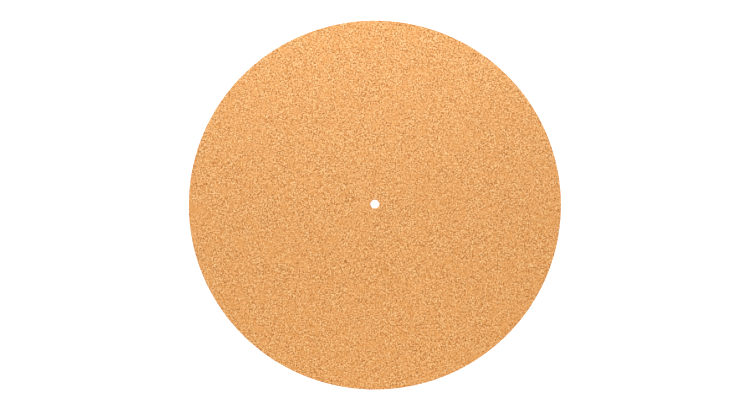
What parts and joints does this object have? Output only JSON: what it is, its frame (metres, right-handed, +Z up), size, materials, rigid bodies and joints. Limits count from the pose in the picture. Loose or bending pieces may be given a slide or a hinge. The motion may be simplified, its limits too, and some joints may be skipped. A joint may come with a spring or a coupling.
{
  "type": "turntable platter mat",
  "caption": "Flat round cork mat with a small spindle hole at its centre, laid on a turntable platter under a record.",
  "frame": {"origin": "on the spindle axis at the centre of the hole, on the underside that lies on the platter", "axes": "+Z up along the spindle axis, from the platter towards the record; X and Y lie in the mat and are alike"},
  "size_m": [0.3, 0.3, 0.003],
  "materials": {
    "cork": "matte"
  },
  "bodies": {
    "root": {"cork_mat": "cork"}
  },
  "joints": []
}
